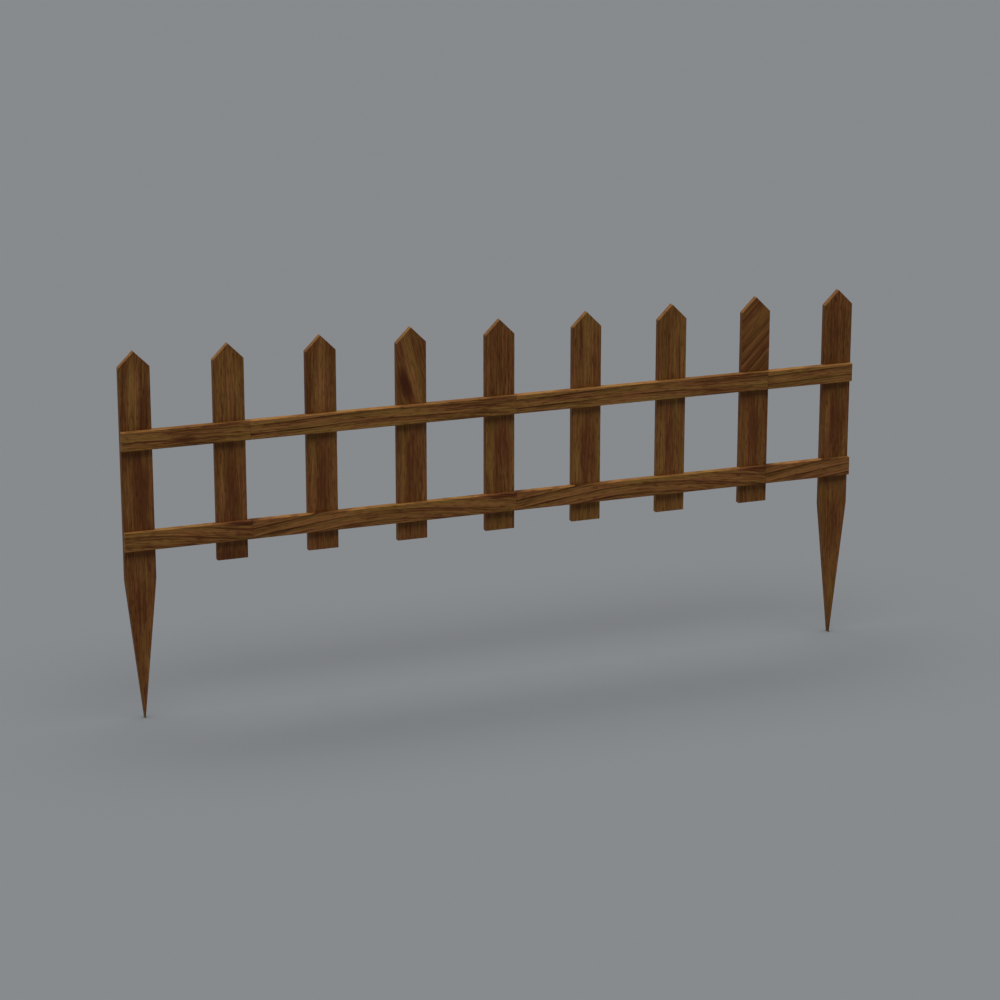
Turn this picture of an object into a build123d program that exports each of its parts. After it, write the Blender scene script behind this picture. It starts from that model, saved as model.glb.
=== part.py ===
from build123d import *
import os

# A low picket fence panel of planed hardwood, in millimetres. Nine upright boards are halved
# over two long rails. The first and the last are stakes that run on below the others as
# spikes for the ground. The origin is on the left stake's foot, in the middle of its
# thickness. +X runs along the panel, +Y to its plain back and +Z up.

# Panel
panel_length = 1200.0  # over the outer edges of the two stakes
board_count = 9  # uprights, the two stakes included

# Uprights
board_width = 48.0
board_thickness = 10.0
point_height = 24.0  # of the point sawn on each top
picket_length = 336.5  # from the tip of the point to the square lower end

# Stakes, which share the pickets' width, thickness and point
leg_length = 17.0  # full width, below the pickets' lower ends
spike_length = 221.5  # sawn to a taper
foot_width = 1.0  # the blunt end of the spike

# Rails
rail_height = 29.5
rail_depth = 12.0
upper_rail_drop = 120.5  # from the tips of the points to the upper rail's top
lower_rail_rise = 30.5  # from the pickets' lower ends to the lower rail's underside

# Joinery and finish
housing_depth = 4.5  # of the slots in the uprights' fronts that the rails lie in
housing_clearance = 0.1  # above and below a rail in its slot
arris_radius = 1.0  # of the long edges of all boards

# Places that follow
board_pitch = (panel_length - board_width) / (board_count - 1)
picket_foot_z = spike_length + leg_length
tip_z = picket_foot_z + picket_length
shoulder_z = tip_z - point_height
front_y = -board_thickness / 2
rail_y = front_y + housing_depth - rail_depth / 2
rail_centre_z = {
    "upper_rail": tip_z - upper_rail_drop - rail_height / 2,
    "lower_rail": picket_foot_z + lower_rail_rise + rail_height / 2,
}


def square_end():
    """Lower corners of a picket, left to right"""
    return [(-board_width / 2, picket_foot_z), (board_width / 2, picket_foot_z)]


def spike_end():
    """Lower corners of a stake, left to right round its spike"""
    return [
        (-board_width / 2, spike_length),
        (-foot_width / 2, 0),
        (foot_width / 2, 0),
        (board_width / 2, spike_length),
    ]


def upright(lower_corners):
    """A planed board, sawn to its outline and slotted in front for the rails"""
    right_shoulder = (board_width / 2, shoulder_z)
    left_shoulder = (-board_width / 2, shoulder_z)
    with BuildPart() as board:
        with BuildSketch():
            stock = Rectangle(board_width, board_thickness)
            fillet(stock.vertices(), arris_radius)
        extrude(amount=tip_z)
        with BuildSketch(Plane.XZ):
            Polygon(*lower_corners, right_shoulder, (0, tip_z), left_shoulder, align=None)
        extrude(amount=board_thickness, both=True, mode=Mode.INTERSECT)
        for centre_z in rail_centre_z.values():
            with Locations((0, front_y, centre_z)):
                slot_height = rail_height + 2 * housing_clearance
                Box(board_width, 2 * housing_depth, slot_height, mode=Mode.SUBTRACT)
    return board.part


def rail():
    """One rail, flush with the outer edges of both stakes"""
    with BuildPart() as bar:
        with BuildSketch(Plane.YZ.offset(-board_width / 2)):
            stock = Rectangle(rail_depth, rail_height)
            fillet(stock.vertices(), arris_radius)
        extrude(amount=panel_length)
    return bar.part


def fence_panel():
    """Each piece of the panel by name, in its place"""
    last = board_count - 1
    pieces = {
        "left_stake": upright(spike_end()),
        "right_stake": Pos(X=last * board_pitch) * upright(spike_end()),
    }
    for number in range(1, last):
        pieces[f"picket_{number}"] = Pos(X=number * board_pitch) * upright(square_end())
    for name, centre_z in rail_centre_z.items():
        pieces[name] = Pos(Y=rail_y, Z=centre_z) * rail()
    return pieces


os.makedirs("parts", exist_ok=True)
for name, piece in fence_panel().items():
    export_step(piece, f"parts/{name}.step")
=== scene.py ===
import math
from typing import NamedTuple

import bpy
from bpy.props import FloatProperty, FloatVectorProperty, PointerProperty
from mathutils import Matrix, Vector


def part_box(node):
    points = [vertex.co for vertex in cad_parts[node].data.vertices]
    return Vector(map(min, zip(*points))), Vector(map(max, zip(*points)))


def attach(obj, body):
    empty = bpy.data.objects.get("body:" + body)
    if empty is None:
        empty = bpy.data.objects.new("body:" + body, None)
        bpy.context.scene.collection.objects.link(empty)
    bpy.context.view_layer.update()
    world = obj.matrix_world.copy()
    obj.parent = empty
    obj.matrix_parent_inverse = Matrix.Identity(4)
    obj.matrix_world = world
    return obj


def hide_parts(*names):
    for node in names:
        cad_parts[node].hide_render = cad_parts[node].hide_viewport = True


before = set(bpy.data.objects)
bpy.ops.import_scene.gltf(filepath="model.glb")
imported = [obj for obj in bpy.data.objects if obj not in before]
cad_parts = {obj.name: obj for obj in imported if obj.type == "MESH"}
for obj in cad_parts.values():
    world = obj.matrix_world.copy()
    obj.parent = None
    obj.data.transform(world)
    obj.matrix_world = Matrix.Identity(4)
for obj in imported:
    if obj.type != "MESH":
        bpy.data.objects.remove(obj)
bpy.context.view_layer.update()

bl_info = {
    "name": "Picket fence panel",
    "version": (1, 0, 0),
    "blender": (4, 5, 0),
    "location": "View3D > Sidebar > Fence",
    "description": "Dresses a low picket fence panel in oiled teak and sets it on a studio floor",
    "category": "Object",
}

BODY = "root"
STAKES = ("left_stake", "right_stake")
PICKETS = tuple(sorted(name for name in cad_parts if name.startswith("picket_")))
RAILS = ("upper_rail", "lower_rail")
MM = 0.001


class Patch(NamedTuple):
    """A soft patch on a board's face, in millimetres: golden above 0, dark red below"""

    middle: tuple  # across the face from its middle, and along the grain
    size: tuple  # across and along
    amount: float  # of tone in its middle


class Figure(NamedTuple):
    """Where a board was cut from the log and what shows on its face, in millimetres"""

    log: tuple  # from the pith: across the face, into the board, along the grain
    ring: float = 6.0  # width of a year's growth
    lines: float = 0.4  # strength of the dark lines that close the years
    bands: float = 0.1  # how far a year darkens from its start to its end
    tone: float = 0.05  # lighter above 0
    contrast: float = 1.0  # of the streaks and fibres
    bend: float = 0.0  # uprights: slope of the grain over the upper rail; rails: height of its arch
    patches: tuple = ()


FIGURES = {
    "left_stake": Figure((92, 14, 40), ring=9, lines=0.6, tone=0.07, bend=0.05, patches=(
        Patch((-8, 505), (9, 80), 0.25), Patch((12, 480), (7, 40), -0.2))),
    "picket_1": Figure((92, 16, 60), tone=0.1, patches=(
        Patch((-4, 520), (26, 80), 0.12), Patch((0, 243), (30, 12), -0.25))),
    "picket_2": Figure((92, 18, 80), tone=0.12, patches=(
        Patch((0, 510), (9, 70), 0.24), Patch((-20, 500), (6, 70), -0.25))),
    "picket_3": Figure((92, 20, 100), tone=0.1, bend=-0.23, patches=(
        Patch((17.5, 515), (8, 75), 0.36), Patch((0, 485), (8, 26), -0.6))),
    "picket_4": Figure((92, 22, 120), tone=0.13, patches=(
        Patch((0, 500), (24, 80), -0.03),)),
    "picket_5": Figure((92, 24, 140), tone=0.16, patches=(
        Patch((-2, 515), (8, 70), 0.18), Patch((-9, 530), (3, 40), -0.3))),
    "picket_6": Figure((92, 26, 160), tone=0.17, patches=(
        Patch((19, 475), (4, 30), 0.25), Patch((12, 490), (5, 40), -0.12))),
    "picket_7": Figure((92, 28, 180), ring=17, lines=0.2, bands=0.3, tone=0.08, bend=0.95, patches=(
        Patch((-95, 540), (16, 40), 0.12),)),
    "right_stake": Figure((92, 30, 200), tone=0.07, patches=(
        Patch((0, 70), (20, 60), 0.12), Patch((4, 510), (20, 60), -0.08))),
    "upper_rail": Figure((131, 18, 300), ring=14, lines=0.9, bands=0.3, tone=0.26, contrast=2.1, bend=4.5),
    "lower_rail": Figure((136.5, 30, 1500), ring=14, lines=0.9, bands=0.2, tone=0.25, contrast=1.8, bend=20,
                         patches=(Patch((12, 410), (4, 35), -0.3),)),
}
SHARED_PATCHES_AND_SHADE = (
    Patch((-13.5, 350), (4.5, 60), 0.2),  # the streak that every upright shows between the rails
    # the next patch is partly a redder zone in the wood, partly painted shade that darkens every upright
    # between the rails
    Patch((3, 350), (15, 55), -0.17),  # the redder zone beside it
    Patch((0, 185), (11, 45), -0.13),  # and the one down the middle of both spikes
)

# Sizes of the teak's patterns, across and along the grain in millimetres. Fibres and pores are
# drawn several times coarser than real ones, which would be too fine to show.
DRIFT = (40, 220)
STREAK = (6, 200)
CLOUD = (30, 150)
HUE = (9, 110)
LINE_BREAK = (12, 120)
FIBRE = (1.8, 35)
PORE = (1.5, 13)
SWAY = 9  # how far the rings wander

# How far each pattern shows
NOISE_MIDDLE = 0.5  # taken off, so that a pattern lightens as much as it darkens
PLAIN_TONE = 0.53  # a plain board's place between dark heart and gold
STREAK_SHARE = 0.5
CLOUD_SHARE = 0.5
FIBRE_SHARE = 0.8
PORE_SHARE = 0.42
# the paler sawn ends are partly end grain, partly a painted highlight on the points' slants
SAWN_HIGHLIGHT_SHARE = 0.16
FIBRE_RISE = 0.6  # beside the depth of a pore
SATIN = 0.42  # roughness of the oiled face, which fibres and saw cuts dull
FIBRE_DULLS = 0.2
SAWN_DULLS = 0.2

# Growth lines
YEAR_LINES = ((1, 1.0), (3, 0.65), (7, 0.35))  # how many a year, and their strength
LATE_WOOD = ((0.05, 0.0), (0.55, 0.06), (0.8, 0.5), (0.91, 1.0))  # darkness as the year goes on
YEAR_END = (1.0, 0.2)
FAINTEST_LINE = 0.35  # share of a line's strength
FAINTEST_STRETCH = 0.25  # what is left where a line breaks off

# Grain of the uprights, which leans over the upper rail
BEND_BLEND = 20  # length over which it turns
BACK_BEND = 0.2  # share of that turn left on the back
YEARS_BELOW = 0.4  # share of the growth lines left below the upper rail

# Grain of the rails, which are finger-jointed from lengths, the end ones cut short
FIRST_JOINT = 173.8
JOINT_PITCH = 426.7
JOINT_WIDTH = 0.5
JOINT_TONE = -0.4
LENGTH_STEP = 1.5  # how much deeper in the log each next length lies
LENGTH_TONES = (0.05, -0.02)  # paler after a joint, darker before the next
YEARS_LATER = 0.5  # share of the growth lines left towards the next joint

# Edges
SHARP_ANGLE = math.radians(20)
PARALLEL = 0.9999  # cosine past which an edge runs along the grain
UNEASED = 0.01  # weight under which an edge stays crisp
BEVEL_SEGMENTS = 4

# Nail heads
NAIL_SIDES = 20
NAIL_RIM = 0.78  # share of the radius where the flat of the head ends

# Camera at the photograph's place, in the panel's frame
CAMERA_PLACE = Vector((-1.0980, -4.4999, 1.7276))
CAMERA_DOWN = math.radians(16.721)
CAMERA_TURN = math.radians(20.426)
CAMERA_LENS = 115.76

# The overhead ring of soft light: heights above the horizon of its lower and upper edges, each soft
RING_FOOT = (math.radians(44), math.radians(58))
RING_TOP = (math.radians(60), math.radians(78))
ZENITH_SHARE = 0.02  # of the ring's strength, straight overhead
FLOOR_REACH = 40.0  # metres from its middle to each side

# What the settings of one kind share
LENGTH = {"min": 0.0, "unit": "LENGTH"}
COLOUR = {"size": 4, "subtype": "COLOR", "min": 0.0, "max": 1.0}


def linear(code):
    """An sRGB hex colour as linear red, green, blue and alpha"""
    parts = [int(code[place:place + 2], 16) / 255 for place in (1, 3, 5)]
    return tuple(v / 12.92 if v <= 0.04045 else ((v + 0.055) / 1.055) ** 2.4 for v in parts) + (1.0,)


class FenceBoardSettings(bpy.types.PropertyGroup):
    """Sizes of the boards that the CAD boxes don't give"""

    point_height: FloatProperty(
        name="Point height", description="Height of the point sawn on an upright",
        default=24 * MM, **LENGTH)
    spike_length: FloatProperty(
        name="Spike length", description="Length of a stake's tapered end",
        default=221.5 * MM, **LENGTH)
    foot_width: FloatProperty(
        name="Foot width", description="Width of the blunt end of a spike",
        default=1 * MM, **LENGTH)
    slot_clearance: FloatProperty(
        name="Slot clearance", description="Room above and below a rail in its slot",
        default=0.1 * MM, **LENGTH)
    arris_radius: FloatProperty(
        name="Arris radius", description="Rounding of the planed long edges",
        default=1 * MM, **LENGTH)
    sawn_radius: FloatProperty(
        name="Sawn edge radius", description="Wear on the sawn edges",
        default=0.35 * MM, **LENGTH)


class FenceTimberSettings(bpy.types.PropertyGroup):
    """Colours of the oiled teak"""

    heart: FloatVectorProperty(
        name="Heartwood", description="Darkest red-brown of the heartwood",
        default=linear("#542C18"), **COLOUR)
    brown: FloatVectorProperty(
        name="Brown", description="Commonest brown",
        default=linear("#7B4B27"), **COLOUR)
    gold: FloatVectorProperty(
        name="Gold", description="Golden olive of the paler streaks",
        default=linear("#AD7D43"), **COLOUR)
    line: FloatVectorProperty(
        name="Growth line", description="Dark line that closes a year's growth",
        default=linear("#46200E"), **COLOUR)
    red: FloatVectorProperty(
        name="Red tint", description="Tint of the redder streaks",
        default=linear("#FFEFFB"), **COLOUR)
    olive: FloatVectorProperty(
        name="Olive tint", description="Tint of the greener streaks",
        default=linear("#F5FFE6"), **COLOUR)
    # paler colour where a board is cut across: partly the sawn end grain, partly a painted highlight on the
    # points' slants, which face the light
    sawn: FloatVectorProperty(
        name="Sawn end", description="Paler, drier timber where a board is cut across",
        default=linear("#B8946A"), **COLOUR)


class FenceNailSettings(bpy.types.PropertyGroup):
    """Nails driven from behind"""

    head_radius: FloatProperty(
        name="Head radius", description="Radius of a nail's head",
        default=1.9 * MM, **LENGTH)
    head_height: FloatProperty(
        name="Head height", description="How far a head stands out of the board",
        default=0.4 * MM, **LENGTH)
    spread: FloatProperty(
        name="Spread", description="Sideways distance of a nail from the board's middle",
        default=11 * MM, **LENGTH)
    rise: FloatProperty(
        name="Rise", description="Distance of a nail above or below the rail's middle",
        default=6 * MM, **LENGTH)


class FenceStageSettings(bpy.types.PropertyGroup):
    """Floor and light"""

    floor: FloatVectorProperty(
        name="Floor", description="Colour of the studio floor",
        default=linear("#888B8E"), **COLOUR)
    ring: FloatProperty(
        name="Ring level", description="Strength of the soft ring of light overhead",
        default=3.83, min=0.0)


def connect(tree, node, inputs):
    """Fill a node's inputs: each value is a plain value, or an output or a node to link"""
    for key, value in inputs.items():
        if isinstance(key, int):
            socket = node.inputs[key]
        else:
            socket = next(s for s in node.inputs if s.name == key and s.enabled)
        if isinstance(value, bpy.types.Node):
            value = next(s for s in value.outputs if s.enabled)
        if isinstance(value, bpy.types.NodeSocket):
            tree.links.new(value, socket)
        else:
            socket.default_value = value


def add(tree, kind, inputs=None, **settings):
    """Add a node with its settings, then fill its inputs"""
    node = tree.nodes.new(kind)
    for name, value in settings.items():
        setattr(node, name, value)
    connect(tree, node, inputs or {})
    return node


def new_tree(name, kind, inputs, outputs):
    """A node group with named sockets, and its input node's outputs"""
    tree = bpy.data.node_groups.new(name, kind)
    for side, sockets in (("INPUT", inputs), ("OUTPUT", outputs)):
        for socket, data in sockets.items():
            tree.interface.new_socket(socket, in_out=side, socket_type="NodeSocket" + data)
    return tree, add(tree, "NodeGroupInput").outputs


def keep_edges(tree, shape, weight, timber):
    """End a board's tree: store how far each edge is eased, and give it its timber"""
    stored = add(tree, "GeometryNodeStoreNamedAttribute",
                 {"Geometry": shape, "Name": "bevel_weight_edge", "Value": weight},
                 data_type="FLOAT", domain="EDGE")
    smooth = add(tree, "GeometryNodeSetShadeSmooth", {"Geometry": stored})
    crisp = add(tree, "ShaderNodeMath", {0: weight, 1: UNEASED}, operation="LESS_THAN")
    parted = add(tree, "GeometryNodeSetShadeSmooth",
                 {"Geometry": smooth, "Selection": crisp, "Shade Smooth": False}, domain="EDGE")
    whole = add(tree, "GeometryNodeRealizeInstances", {"Geometry": parted})
    dressed = add(tree, "GeometryNodeSetMaterial", {"Geometry": whole, "Material": timber})
    add(tree, "NodeGroupOutput", {"Geometry": dressed})


def edge_weight(tree, along, sawn_ease):
    """1 on sharp edges that run along one axis, the sawn edges' share on other sharp edges, else 0"""
    ends = add(tree, "GeometryNodeInputMeshEdgeVertices").outputs
    run = add(tree, "ShaderNodeVectorMath", {0: ends["Position 1"], 1: ends["Position 2"]},
              operation="SUBTRACT")
    straight = add(tree, "ShaderNodeVectorMath", {0: run}, operation="NORMALIZE")
    share = add(tree, "ShaderNodeVectorMath", {0: straight, 1: along}, operation="DOT_PRODUCT")
    size = add(tree, "ShaderNodeMath", {0: share.outputs["Value"]}, operation="ABSOLUTE")
    planed = add(tree, "ShaderNodeMath", {0: size, 1: PARALLEL}, operation="GREATER_THAN")
    ease = add(tree, "ShaderNodeMix", {"Factor": planed, "A": sawn_ease, "B": 1.0})
    angle = add(tree, "GeometryNodeInputMeshEdgeAngle").outputs["Unsigned Angle"]
    sharp = add(tree, "ShaderNodeMath", {0: angle, 1: SHARP_ANGLE}, operation="GREATER_THAN")
    return add(tree, "ShaderNodeMath", {0: ease, 1: sharp}, operation="MULTIPLY")


def pointed_board_tree():
    """An upright: a block drawn to a point above and a foot below, with two slots in its front"""
    sizes = ("At", "Width", "Thickness", "Base", "Tip", "Point", "Taper", "Foot", "Slot Depth",
             "Slot Height", "Upper Slot", "Lower Slot", "Sawn Ease")
    tree, given = new_tree("Pointed board", "GeometryNodeTree",
                           {**{name: "Float" for name in sizes}, "Timber": "Material"},
                           {"Geometry": "Geometry"})

    # The block has rows of points at heights -0.5, 0 and 0.5: the foot, the taper's top and the point
    block = add(tree, "GeometryNodeMeshCube",
                {"Size": (1, 1, 1), "Vertices X": 3, "Vertices Y": 2, "Vertices Z": 3}).outputs["Mesh"]
    spot = add(tree, "ShaderNodeSeparateXYZ", {0: add(tree, "GeometryNodeInputPosition")}).outputs
    low = add(tree, "ShaderNodeMath", {0: spot["Z"], 1: -0.25}, operation="LESS_THAN")
    high = add(tree, "ShaderNodeMath", {0: spot["Z"], 1: 0.25}, operation="GREATER_THAN")
    width = add(tree, "ShaderNodeMix", {"Factor": low, "A": given["Width"], "B": given["Foot"]})
    x = add(tree, "ShaderNodeMath", {0: spot["X"], 1: width, 2: given["At"]}, operation="MULTIPLY_ADD")
    y = add(tree, "ShaderNodeMath", {0: spot["Y"], 1: given["Thickness"]}, operation="MULTIPLY")
    taper_top = add(tree, "ShaderNodeMath", {0: given["Base"], 1: given["Taper"]}, operation="ADD")
    lower_z = add(tree, "ShaderNodeMix", {"Factor": low, "A": taper_top, "B": given["Base"]})
    sideways = add(tree, "ShaderNodeMath", {0: spot["X"]}, operation="ABSOLUTE")
    fall = add(tree, "ShaderNodeMath", {0: sideways, 1: given["Point"]}, operation="MULTIPLY")
    top_z = add(tree, "ShaderNodeMath", {0: fall, 1: -2.0, 2: given["Tip"]}, operation="MULTIPLY_ADD")
    z = add(tree, "ShaderNodeMix", {"Factor": high, "A": lower_z, "B": top_z})
    place = add(tree, "ShaderNodeCombineXYZ", {"X": x, "Y": y, "Z": z})
    board = add(tree, "GeometryNodeSetPosition", {"Geometry": block, "Position": place})

    # The slots, whose own edges stay crisp
    slotted = add(tree, "GeometryNodeMeshBoolean", {"Mesh 1": board},
                  operation="DIFFERENCE", solver="EXACT")
    clear_width = add(tree, "ShaderNodeMath", {0: given["Width"], 1: 2.0}, operation="MULTIPLY")
    deep = add(tree, "ShaderNodeMath", {0: given["Slot Depth"], 1: 2.0}, operation="MULTIPLY")
    front = add(tree, "ShaderNodeMath", {0: given["Thickness"], 1: -0.5}, operation="MULTIPLY")
    just_past_half = 0.51
    mouth = add(tree, "ShaderNodeMath", {0: given["Slot Height"], 1: just_past_half},
                operation="MULTIPLY")
    beside = []
    for slot in ("Upper Slot", "Lower Slot"):
        size = add(tree, "ShaderNodeCombineXYZ", {"X": clear_width, "Y": deep, "Z": given["Slot Height"]})
        cutter = add(tree, "GeometryNodeMeshCube", {"Size": size}).outputs["Mesh"]
        where = add(tree, "ShaderNodeCombineXYZ", {"X": given["At"], "Y": front, "Z": given[slot]})
        moved = add(tree, "GeometryNodeTransform", {"Geometry": cutter, "Translation": where})
        tree.links.new(moved.outputs["Geometry"], slotted.inputs["Mesh 2"])
        beside.append(add(tree, "ShaderNodeMath", {0: spot["Z"], 1: given[slot], 2: mouth},
                          operation="COMPARE"))
    in_slot = add(tree, "ShaderNodeMath", {0: beside[0], 1: beside[1]}, operation="MAXIMUM")
    clear = add(tree, "ShaderNodeMath", {0: 1.0, 1: in_slot}, operation="SUBTRACT")
    weight = edge_weight(tree, (0, 0, 1), given["Sawn Ease"])
    eased = add(tree, "ShaderNodeMath", {0: weight, 1: clear}, operation="MULTIPLY")
    keep_edges(tree, slotted.outputs["Mesh"], eased, given["Timber"])
    return tree


def rail_tree():
    """A rail: a straight planed bar"""
    tree, given = new_tree(
        "Rail", "GeometryNodeTree",
        {"Size": "Vector", "Middle": "Vector", "Sawn Ease": "Float", "Timber": "Material"},
        {"Geometry": "Geometry"})
    bar = add(tree, "GeometryNodeMeshCube", {"Size": given["Size"]}).outputs["Mesh"]
    moved = add(tree, "GeometryNodeTransform", {"Geometry": bar, "Translation": given["Middle"]})
    weight = edge_weight(tree, (1, 0, 0), given["Sawn Ease"])
    keep_edges(tree, moved.outputs["Geometry"], weight, given["Timber"])
    return tree


def nail_tree():
    """Nail heads, two at each crossing, on a grid of crossings seen from behind"""
    tree, given = new_tree(
        "Nail heads", "GeometryNodeTree",
        {"Middle": "Vector", "Length": "Float", "Height": "Float", "Boards": "Int", "Rails": "Int",
         "Head Radius": "Float", "Head Height": "Float", "Spread": "Float", "Rise": "Float",
         "Steel": "Material"},
        {"Geometry": "Geometry"})
    rim = add(tree, "ShaderNodeMath", {0: given["Head Radius"], 1: NAIL_RIM}, operation="MULTIPLY")
    depth = add(tree, "ShaderNodeMath", {0: given["Head Height"], 1: 2.0}, operation="MULTIPLY")
    head = add(tree, "GeometryNodeMeshCone",
               {"Vertices": NAIL_SIDES, "Side Segments": 1, "Fill Segments": 2, "Radius Top": rim,
                "Radius Bottom": given["Head Radius"], "Depth": depth}).outputs["Mesh"]
    across = add(tree, "ShaderNodeMath", {0: given["Spread"], 1: -1.0}, operation="MULTIPLY")
    first = add(tree, "ShaderNodeCombineXYZ", {"X": across, "Y": given["Rise"]})
    step = add(tree, "ShaderNodeVectorMath", {0: first, "Scale": -2.0}, operation="SCALE")
    pair = add(tree, "GeometryNodeMeshLine", {"Count": 2, "Start Location": first, "Offset": step},
               mode="OFFSET")
    two = add(tree, "GeometryNodeInstanceOnPoints", {"Points": pair, "Instance": head})
    grid = add(tree, "GeometryNodeMeshGrid",
               {"Size X": given["Length"], "Size Y": given["Height"], "Vertices X": given["Boards"],
                "Vertices Y": given["Rails"]}).outputs["Mesh"]
    all_heads = add(tree, "GeometryNodeInstanceOnPoints", {"Points": grid, "Instance": two})
    turned = add(tree, "GeometryNodeTransform",
                 {"Geometry": all_heads, "Translation": given["Middle"],
                  "Rotation": (-math.pi / 2, 0, 0)})
    whole = add(tree, "GeometryNodeRealizeInstances", {"Geometry": turned})
    dressed = add(tree, "GeometryNodeSetMaterial", {"Geometry": whole, "Material": given["Steel"]})
    add(tree, "NodeGroupOutput", {"Geometry": dressed})
    return tree


def grown(name, tree, values, arris=0.0):
    """Run a tree, ease its weighted edges, and keep the result as a plain mesh that rides on the panel"""
    piece = bpy.data.objects.new(name, bpy.data.meshes.new(name))
    bpy.context.scene.collection.objects.link(piece)
    shape = piece.modifiers.new("Shape", "NODES")
    shape.node_group = tree
    for item in tree.interface.items_tree:
        if item.in_out == "INPUT":
            shape[item.identifier] = values[item.name]
    if arris:
        ease = piece.modifiers.new("Arris", "BEVEL")
        ease.limit_method = "WEIGHT"
        ease.width = arris
        ease.segments = BEVEL_SEGMENTS
        ease.harden_normals = True
    depsgraph = bpy.context.evaluated_depsgraph_get()
    mesh = bpy.data.meshes.new_from_object(piece.evaluated_get(depsgraph), preserve_all_data_layers=True,
                                           depsgraph=depsgraph)
    if not mesh.polygons:
        raise RuntimeError(f"{name} came out empty")
    piece.modifiers.clear()
    piece.data = mesh
    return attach(piece, BODY)


def drawn_out(tree, place, size, detail):
    """Noise drawn out along the grain, with features of that size across and along it"""
    across, along = (1 / (length * MM) for length in size)
    scaled = add(tree, "ShaderNodeVectorMath", {0: place, 1: (across, across, along)},
                 operation="MULTIPLY")
    return add(tree, "ShaderNodeTexNoise",
               {"Vector": scaled, "Scale": 1.0, "Detail": detail, "Roughness": 0.55})


def patched(tree, place, patches, tone):
    """Add soft patches to a tone: each has its amount in the middle and fades out past its size"""
    for spot in patches:
        middle = (spot.middle[0] * MM, 0, spot.middle[1] * MM)
        size = (spot.size[0] * MM, 1, spot.size[1] * MM)
        away = add(tree, "ShaderNodeVectorMath", {0: place, 1: middle}, operation="SUBTRACT")
        shares = add(tree, "ShaderNodeVectorMath", {0: away, 1: size}, operation="DIVIDE")
        reach = add(tree, "ShaderNodeVectorMath", {0: shares}, operation="LENGTH")
        fade = add(tree, "ShaderNodeMapRange",
                   {"Value": reach.outputs["Value"], "From Min": 0.4, "From Max": 1.4,
                    "To Min": spot.amount, "To Max": 0.0}, interpolation_type="SMOOTHSTEP")
        tone = add(tree, "ShaderNodeMath", {0: tone, 1: fade}, operation="ADD")
    return tone


def growth_line(tree, grain, years):
    """Dark lines that close the years, each of its own strength, with fainter ones within a year"""
    broken = drawn_out(tree, grain, LINE_BREAK, 1.0).outputs["Fac"]
    kept = add(tree, "ShaderNodeMapRange",
               {"Value": broken, "From Min": 0.3, "From Max": 0.6, "To Min": FAINTEST_STRETCH})
    total = 0.0
    for per_year, share in YEAR_LINES:
        count = add(tree, "ShaderNodeMath", {0: years, 1: per_year}, operation="MULTIPLY")
        ring = add(tree, "ShaderNodeMath", {0: count}, operation="FLOOR")
        season = add(tree, "ShaderNodeMath", {0: count}, operation="FRACT")
        late = add(tree, "ShaderNodeFloatCurve", {"Value": season})
        curve = late.mapping.curves[0]
        for at, level in LATE_WOOD:
            curve.points.new(at, level)
        curve.points[-1].location = YEAR_END
        late.mapping.update()
        chance = add(tree, "ShaderNodeTexWhiteNoise", {"W": ring}, noise_dimensions="1D")
        strength = add(tree, "ShaderNodeMapRange",
                       {"Value": chance.outputs["Value"], "To Min": FAINTEST_LINE * share,
                        "To Max": share})
        total = add(tree, "ShaderNodeMath", {0: late, 1: strength, 2: total}, operation="MULTIPLY_ADD")
    return add(tree, "ShaderNodeMath", {0: total, 1: kept}, operation="MULTIPLY")


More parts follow.
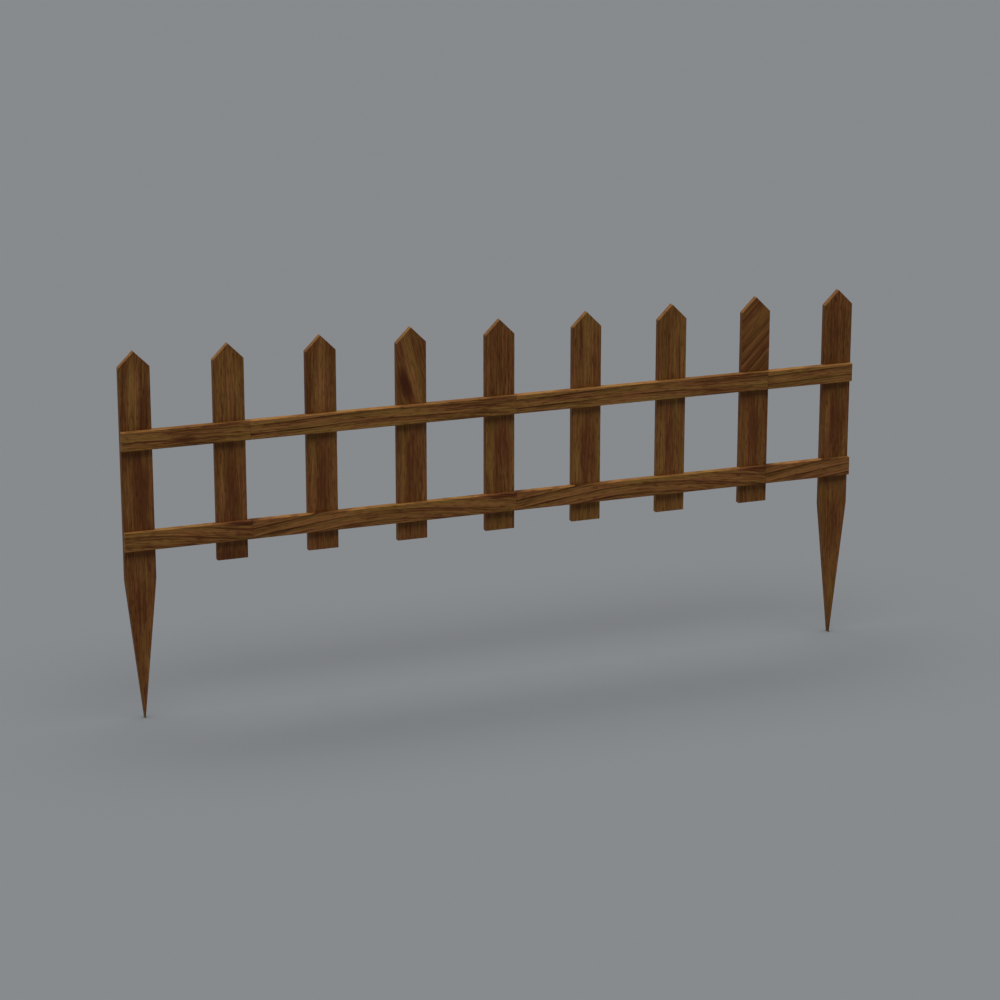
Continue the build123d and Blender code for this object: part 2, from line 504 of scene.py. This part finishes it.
def teak_group(timber):
    """Teak as a solid: rings about the pith, streaks, fibres and pores along the grain"""
    tree, given = new_tree(
        "Teak", "ShaderNodeTree",
        {"Grain": "Vector", "Ring": "Float", "Lines": "Float", "Bands": "Float", "Tone": "Float",
         "Contrast": "Float", "End Grain": "Float"},
        {"Color": "Color", "Height": "Float", "Roughness": "Float"})

    # Rings, which wander a little
    drift = drawn_out(tree, given["Grain"], DRIFT, 2.5).outputs["Color"]
    centred = add(tree, "ShaderNodeVectorMath", {0: drift, 1: (NOISE_MIDDLE,) * 3}, operation="SUBTRACT")
    sway = add(tree, "ShaderNodeVectorMath", {0: centred, 1: (SWAY * MM, SWAY * MM, 0)},
               operation="MULTIPLY")
    grain = add(tree, "ShaderNodeVectorMath", {0: given["Grain"], 1: sway}, operation="ADD")
    flat = add(tree, "ShaderNodeVectorMath", {0: grain, 1: (1, 1, 0)}, operation="MULTIPLY")
    radius = add(tree, "ShaderNodeVectorMath", {0: flat}, operation="LENGTH").outputs["Value"]
    years = add(tree, "ShaderNodeMath", {0: radius, 1: given["Ring"]}, operation="DIVIDE")
    line = add(tree, "ShaderNodeMath", {0: growth_line(tree, grain, years), 1: given["Lines"]},
               operation="MULTIPLY")
    season = add(tree, "ShaderNodeMath", {0: years}, operation="FRACT")
    early = add(tree, "ShaderNodeMath", {0: 0.5, 1: season}, operation="SUBTRACT")

    # Tone, from dark heart to gold
    fibre = drawn_out(tree, grain, FIBRE, 2.0).outputs["Fac"]
    shares = (
        (drawn_out(tree, grain, STREAK, 2.0).outputs["Fac"], STREAK_SHARE),
        (drawn_out(tree, grain, CLOUD, 1.0).outputs["Fac"], CLOUD_SHARE),
        (fibre, FIBRE_SHARE),
    )
    swing = -NOISE_MIDDLE * sum(share for _, share in shares)
    for term, share in shares:
        swing = add(tree, "ShaderNodeMath", {0: term, 1: share, 2: swing}, operation="MULTIPLY_ADD")
    plain = add(tree, "ShaderNodeMath", {0: given["Tone"], 1: PLAIN_TONE}, operation="ADD")
    streaked = add(tree, "ShaderNodeMath", {0: swing, 1: given["Contrast"], 2: plain},
                   operation="MULTIPLY_ADD")
    level = add(tree, "ShaderNodeMath", {0: early, 1: given["Bands"], 2: streaked},
                operation="MULTIPLY_ADD")
    colour = add(tree, "ShaderNodeValToRGB", {"Fac": level})
    stops = colour.color_ramp.elements
    stops[0].color = timber.heart
    stops[1].color = timber.gold
    stops.new(0.5).color = timber.brown

    # Redder and greener streaks, growth lines, pores and paler sawn ends over it; the paler ends are partly
    # end grain, partly a painted highlight on the points' slants, which face the light
    hue = drawn_out(tree, grain, HUE, 2.0).outputs["Fac"]
    lean = add(tree, "ShaderNodeMapRange", {"Value": hue, "From Min": 0.33, "From Max": 0.67})
    tint = add(tree, "ShaderNodeMix", {"Factor": lean, "A": timber.red, "B": timber.olive},
               data_type="RGBA")
    tinted = add(tree, "ShaderNodeMix", {"Factor": 1.0, "A": colour.outputs["Color"], "B": tint},
                 data_type="RGBA", blend_type="MULTIPLY")
    lined = add(tree, "ShaderNodeMix", {"Factor": line, "A": tinted, "B": timber.line}, data_type="RGBA")
    pore = drawn_out(tree, grain, PORE, 0.0).outputs["Fac"]
    open_pore = add(tree, "ShaderNodeMapRange", {"Value": pore, "From Min": 0.58, "From Max": 0.7})
    dark = add(tree, "ShaderNodeMath", {0: open_pore, 1: PORE_SHARE}, operation="MULTIPLY")
    pored = add(tree, "ShaderNodeMix", {"Factor": dark, "A": lined, "B": timber.line}, data_type="RGBA")
    # the paler mix on faces across the grain is partly a painted highlight on the lit slants of the points
    sawn_highlight_mix = add(tree, "ShaderNodeMath", {0: given["End Grain"], 1: SAWN_HIGHLIGHT_SHARE}, operation="MULTIPLY")
    with_sawn_highlight = add(tree, "ShaderNodeMix", {"Factor": sawn_highlight_mix, "A": pored, "B": timber.sawn}, data_type="RGBA")

    # Relief and sheen
    raised = add(tree, "ShaderNodeMath", {0: fibre, 1: FIBRE_RISE, 2: line}, operation="MULTIPLY_ADD")
    height = add(tree, "ShaderNodeMath", {0: raised, 1: open_pore}, operation="SUBTRACT")
    dull = add(tree, "ShaderNodeMath", {0: fibre, 1: FIBRE_DULLS, 2: SATIN}, operation="MULTIPLY_ADD")
    rough = add(tree, "ShaderNodeMath", {0: given["End Grain"], 1: SAWN_DULLS, 2: dull},
                operation="MULTIPLY_ADD")
    add(tree, "NodeGroupOutput", {"Color": with_sawn_highlight, "Height": height, "Roughness": rough})
    return tree


def upright_grain(tree, place, figure):
    """An upright's place on its face, its grain, its tone and how far its years show"""
    spot = add(tree, "ShaderNodeSeparateXYZ", {0: place}).outputs
    low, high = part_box(RAILS[0])
    past = add(tree, "ShaderNodeMath", {0: spot["Z"], 1: (low.z + high.z) / 2}, operation="SUBTRACT")
    over = add(tree, "ShaderNodeMath", {0: past, 1: 0.0, 2: BEND_BLEND * MM}, operation="SMOOTH_MAX")
    front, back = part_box(STAKES[0])
    slope = add(tree, "ShaderNodeMapRange",
                {"Value": spot["Y"], "From Min": front.y, "From Max": back.y,
                 "To Min": figure.bend, "To Max": figure.bend * BACK_BEND})
    shift = add(tree, "ShaderNodeMath", {0: over, 1: slope}, operation="MULTIPLY")
    across = add(tree, "ShaderNodeMath", {0: spot["X"], 1: shift}, operation="SUBTRACT")
    grain = add(tree, "ShaderNodeCombineXYZ", {"X": across, "Y": spot["Y"], "Z": spot["Z"]})
    # the shared patches include painted shade between the rails
    tone = patched(tree, place, SHARED_PATCHES_AND_SHADE, figure.tone)
    shown = add(tree, "ShaderNodeMapRange",
                {"Value": spot["Z"], "From Min": low.z, "From Max": high.z, "To Min": YEARS_BELOW})
    return grain, grain, tone, shown


def rail_grain(tree, place, figure):
    """The same four for a rail, whose grain arches over each of its jointed lengths"""
    spot = add(tree, "ShaderNodeSeparateXYZ", {0: place}).outputs
    start = (FIRST_JOINT - JOINT_PITCH) * MM
    past = add(tree, "ShaderNodeMath", {0: spot["Z"], 1: start}, operation="SUBTRACT")
    count = add(tree, "ShaderNodeMath", {0: past, 1: JOINT_PITCH * MM}, operation="DIVIDE")
    share = add(tree, "ShaderNodeMath", {0: count}, operation="FRACT")
    number = add(tree, "ShaderNodeMath", {0: count}, operation="FLOOR")
    along = add(tree, "ShaderNodeMath", {0: share, 1: JOINT_PITCH * MM}, operation="MULTIPLY")
    half_turn = add(tree, "ShaderNodeMath", {0: share, 1: math.pi}, operation="MULTIPLY")
    arch = add(tree, "ShaderNodeMath", {0: half_turn}, operation="SINE")
    across = add(tree, "ShaderNodeMath", {0: arch, 1: -figure.bend * MM, 2: spot["X"]},
                 operation="MULTIPLY_ADD")
    depth = add(tree, "ShaderNodeMath", {0: number, 1: LENGTH_STEP * MM, 2: spot["Y"]},
                operation="MULTIPLY_ADD")
    face = add(tree, "ShaderNodeCombineXYZ", {"X": spot["X"], "Y": spot["Y"], "Z": along})
    grain = add(tree, "ShaderNodeCombineXYZ", {"X": across, "Y": depth, "Z": along})
    paler = add(tree, "ShaderNodeMapRange",
                {"Value": share, "To Min": figure.tone + LENGTH_TONES[0],
                 "To Max": figure.tone + LENGTH_TONES[1]})
    joint = add(tree, "ShaderNodeMath", {0: along, 1: JOINT_WIDTH * MM}, operation="LESS_THAN")
    tone = add(tree, "ShaderNodeMath", {0: joint, 1: JOINT_TONE, 2: paler}, operation="MULTIPLY_ADD")
    shown = add(tree, "ShaderNodeMapRange",
                {"Value": share, "From Min": 0.3, "From Max": 0.75, "To Min": 1.0, "To Max": YEARS_LATER})
    return face, grain, tone, shown


def teak_material(name, axis, middle, figure, group, grain_of):
    """Oiled teak, planed: satin brown heartwood with golden streaks, dark growth lines and short pores"""
    material = bpy.data.materials.new(f"Oiled teak {name}")
    material.use_nodes = True
    tree = material.node_tree
    tree.nodes.clear()
    where = add(tree, "ShaderNodeTexCoord").outputs
    upright = bool(axis.z)
    turn = (0, 0, 0) if upright else (0, -math.pi / 2, 0)
    flip = (1, 1, 1) if upright else (1, 1, -1)
    place = add(tree, "ShaderNodeMapping",
                {"Vector": where["Object"], "Location": middle, "Rotation": turn, "Scale": flip})
    face, grain, tone, shown = grain_of(tree, place, figure)
    facing = add(tree, "ShaderNodeVectorMath", {0: where["Normal"], 1: axis}, operation="DOT_PRODUCT")
    square = add(tree, "ShaderNodeMath", {0: facing.outputs["Value"]}, operation="ABSOLUTE")
    wood = add(tree, "ShaderNodeGroup", node_tree=group)
    connect(tree, wood, {
        "Grain": add(tree, "ShaderNodeVectorMath", {0: grain, 1: Vector(figure.log) * MM},
                     operation="ADD"),
        "Ring": figure.ring * MM,
        "Lines": add(tree, "ShaderNodeMath", {0: shown, 1: figure.lines}, operation="MULTIPLY"),
        "Bands": add(tree, "ShaderNodeMath", {0: shown, 1: figure.bands}, operation="MULTIPLY"),
        "Tone": patched(tree, face, figure.patches, tone),
        "Contrast": figure.contrast,
        # faces across the grain, among them the points' slants, which get the painted highlight
        "End Grain": add(tree, "ShaderNodeMapRange",
                         {"Value": square, "From Min": 0.6, "From Max": 0.7}),
    })
    relief = add(tree, "ShaderNodeBump",
                 {"Height": wood.outputs["Height"], "Strength": 0.5, "Distance": 0.12 * MM})
    surface = add(tree, "ShaderNodeBsdfPrincipled",
                  {"Base Color": wood.outputs["Color"], "Roughness": wood.outputs["Roughness"],
                   "Normal": relief, "IOR": 1.5, "Specular IOR Level": 0.12})
    add(tree, "ShaderNodeOutputMaterial", {"Surface": surface})
    return material


def steel_material():
    """Galvanised wire nail: dull grey zinc with a mottled bloom"""
    material = bpy.data.materials.new("Galvanised steel")
    material.use_nodes = True
    tree = material.node_tree
    tree.nodes.clear()
    where = add(tree, "ShaderNodeTexCoord").outputs["Object"]
    bloom_size = 1.2 * MM
    bloom = add(tree, "ShaderNodeTexNoise", {"Vector": where, "Scale": 1 / bloom_size, "Detail": 3.0})
    colour = add(tree, "ShaderNodeMix",
                 {"Factor": bloom, "A": linear("#6E7072"), "B": linear("#A9ABAC")}, data_type="RGBA")
    rough = add(tree, "ShaderNodeMapRange", {"Value": bloom, "To Min": 0.35, "To Max": 0.6})
    surface = add(tree, "ShaderNodeBsdfPrincipled",
                  {"Base Color": colour, "Roughness": rough, "Metallic": 1.0})
    add(tree, "ShaderNodeOutputMaterial", {"Surface": surface})
    return material


def paper_material(colour):
    """Matt studio paper: one even grey with hardly any gloss"""
    material = bpy.data.materials.new("Matt studio paper")
    material.use_nodes = True
    tree = material.node_tree
    tree.nodes.clear()
    surface = add(tree, "ShaderNodeBsdfPrincipled",
                  {"Base Color": colour, "Roughness": 0.9, "Specular IOR Level": 0.1})
    add(tree, "ShaderNodeOutputMaterial", {"Surface": surface})
    return material


def upright_values(node, boards, spiked):
    """Inputs of the pointed board's tree for one CAD node"""
    low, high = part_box(node)
    upper, lower = [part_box(rail) for rail in RAILS]
    width = high.x - low.x
    return {
        "At": (low.x + high.x) / 2,
        "Width": width,
        "Thickness": high.y - low.y,
        "Base": low.z,
        "Tip": high.z,
        "Point": boards.point_height,
        # a picket's lower rows of points lie in its straight sides, any distance apart
        "Taper": boards.spike_length if spiked else boards.point_height,
        "Foot": boards.foot_width if spiked else width,
        "Slot Depth": upper[1].y - low.y,
        "Slot Height": upper[1].z - upper[0].z + 2 * boards.slot_clearance,
        "Upper Slot": (upper[0].z + upper[1].z) / 2,
        "Lower Slot": (lower[0].z + lower[1].z) / 2,
        "Sawn Ease": boards.sawn_radius / boards.arris_radius,
    }


def shared_group(name, make, *values):
    """A node group that several pieces share, made when it is first asked for"""
    return bpy.data.node_groups.get(name) or make(*values)


def dress_uprights(scene, nodes, spiked):
    """Make these CAD nodes' boards, each with its own cut of the timber"""
    tree = shared_group("Pointed board", pointed_board_tree)
    group = shared_group("Teak", teak_group, scene.fence_timber)
    up = Vector((0, 0, 1))
    for node in nodes:
        values = upright_values(node, scene.fence_boards, spiked)
        middle = (-values["At"], 0, 0)
        values["Timber"] = teak_material(node, up, middle, FIGURES[node], group, upright_grain)
        piece = grown(f"{node}_board", tree, values, scene.fence_boards.arris_radius)
        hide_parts(node)


class FENCE_OT_stakes(bpy.types.Operator):
    """Make the two end boards with their spikes"""

    bl_idname = "fence.stakes"
    bl_label = "Stakes"

    def execute(self, context):
        dress_uprights(context.scene, STAKES, True)
        return {"FINISHED"}


class FENCE_OT_pickets(bpy.types.Operator):
    """Make the pointed pickets between the stakes"""

    bl_idname = "fence.pickets"
    bl_label = "Pickets"

    def execute(self, context):
        dress_uprights(context.scene, PICKETS, False)
        return {"FINISHED"}


class FENCE_OT_rails(bpy.types.Operator):
    """Make the two rails"""

    bl_idname = "fence.rails"
    bl_label = "Rails"

    def execute(self, context):
        boards = context.scene.fence_boards
        tree = shared_group("Rail", rail_tree)
        group = shared_group("Teak", teak_group, context.scene.fence_timber)
        sideways = Vector((1, 0, 0))
        for node in RAILS:
            low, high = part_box(node)
            middle = (low + high) / 2
            timber = teak_material(node, sideways, (-middle.z, 0, 0), FIGURES[node], group, rail_grain)
            values = {"Size": high - low, "Middle": middle, "Timber": timber,
                      "Sawn Ease": boards.sawn_radius / boards.arris_radius}
            piece = grown(f"{node}_bar", tree, values, boards.arris_radius)
            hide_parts(node)
        return {"FINISHED"}


class FENCE_OT_nails(bpy.types.Operator):
    """Make the nails that hold the uprights from behind"""

    bl_idname = "fence.nails"
    bl_label = "Nails"

    def execute(self, context):
        nails = context.scene.fence_nails
        first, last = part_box(STAKES[0]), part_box(STAKES[1])
        upper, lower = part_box(RAILS[0]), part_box(RAILS[1])
        ends = [(low.x + high.x) / 2 for low, high in (first, last)]
        levels = [(low.z + high.z) / 2 for low, high in (upper, lower)]
        sunk = first[1].y - nails.head_height
        values = {
            "Middle": (sum(ends) / 2, sunk, sum(levels) / 2),
            "Length": ends[1] - ends[0],
            "Height": levels[0] - levels[1],
            "Boards": len(STAKES) + len(PICKETS),
            "Rails": len(RAILS),
            "Head Radius": nails.head_radius,
            "Head Height": nails.head_height,
            "Spread": nails.spread,
            "Rise": nails.rise,
            "Steel": steel_material(),
        }
        grown("nail_heads", nail_tree(), values)
        return {"FINISHED"}


class FENCE_OT_stage(bpy.types.Operator):
    """Set the floor, the soft ring of light and the camera"""

    bl_idname = "fence.stage"
    bl_label = "Stage"

    def execute(self, context):
        stage = context.scene.fence_stage
        self.lay_floor(context, stage)
        self.light_ring(context, stage)
        self.aim_camera(context)
        context.scene.view_settings.view_transform = "Standard"
        return {"FINISHED"}

    def lay_floor(self, context, stage):
        """A wide floor of matt paper, level with the feet"""
        mesh = bpy.data.meshes.new("studio_floor")
        corners = [(x * FLOOR_REACH, y * FLOOR_REACH, 0) for x, y in ((-1, -1), (1, -1), (1, 1), (-1, 1))]
        mesh.from_pydata(corners, [], [(0, 1, 2, 3)])
        mesh.materials.append(paper_material(stage.floor))
        floor = bpy.data.objects.new("studio_floor", mesh)
        context.scene.collection.objects.link(floor)

    def light_ring(self, context, stage):
        """A soft ring of light high round the panel, with a dark studio below and nearly dark above"""
        world = bpy.data.worlds.new("Studio light")
        world.use_nodes = True
        tree = world.node_tree
        tree.nodes.clear()
        direction = add(tree, "ShaderNodeTexCoord").outputs["Generated"]
        rise = add(tree, "ShaderNodeSeparateXYZ", {0: direction}).outputs["Z"]
        lit = add(tree, "ShaderNodeMapRange",
                  {"Value": rise, "From Min": math.sin(RING_FOOT[0]), "From Max": math.sin(RING_FOOT[1])},
                  interpolation_type="SMOOTHSTEP")
        faded = add(tree, "ShaderNodeMapRange",
                    {"Value": rise, "From Min": math.sin(RING_TOP[0]), "From Max": math.sin(RING_TOP[1]),
                     "To Min": stage.ring, "To Max": stage.ring * ZENITH_SHARE},
                    interpolation_type="SMOOTHSTEP")
        level = add(tree, "ShaderNodeMath", {0: lit, 1: faded}, operation="MULTIPLY")
        light = add(tree, "ShaderNodeBackground", {"Color": (1, 1, 1, 1), "Strength": level})
        add(tree, "ShaderNodeOutputWorld", {"Surface": light})
        context.scene.world = world

    def aim_camera(self, context):
        """A long lens, a little above the panel and to its left"""
        lens = bpy.data.cameras.new("Camera")
        lens.lens = CAMERA_LENS
        camera = bpy.data.objects.new("Camera", lens)
        camera.location = CAMERA_PLACE
        camera.rotation_euler = (math.pi / 2 - CAMERA_DOWN, 0, -CAMERA_TURN)
        context.scene.collection.objects.link(camera)
        context.scene.camera = camera


class FENCE_PT_panel(bpy.types.Panel):
    """Settings and steps of the fence panel, in order"""

    bl_idname = "FENCE_PT_panel"
    bl_label = "Picket fence panel"
    bl_space_type = "VIEW_3D"
    bl_region_type = "UI"
    bl_category = "Fence"

    def draw(self, context):
        for name, kind in SETTINGS.items():
            settings = getattr(context.scene, name)
            for setting in kind.__annotations__:
                self.layout.prop(settings, setting)
        for operator in OPERATORS:
            self.layout.operator(operator.bl_idname)


SETTINGS = {
    "fence_boards": FenceBoardSettings,
    "fence_timber": FenceTimberSettings,
    "fence_nails": FenceNailSettings,
    "fence_stage": FenceStageSettings,
}
OPERATORS = (FENCE_OT_stakes, FENCE_OT_pickets, FENCE_OT_rails, FENCE_OT_nails, FENCE_OT_stage)


def register():
    for kind in (*SETTINGS.values(), *OPERATORS, FENCE_PT_panel):
        bpy.utils.register_class(kind)
    for name, kind in SETTINGS.items():
        setattr(bpy.types.Scene, name, PointerProperty(type=kind))


def unregister():
    for name in SETTINGS:
        delattr(bpy.types.Scene, name)
    for kind in reversed((*SETTINGS.values(), *OPERATORS, FENCE_PT_panel)):
        bpy.utils.unregister_class(kind)


def main():
    register()
    bpy.ops.fence.stakes()
    bpy.ops.fence.pickets()
    bpy.ops.fence.rails()
    bpy.ops.fence.nails()
    bpy.ops.fence.stage()


if __name__ == "__main__":
    main()
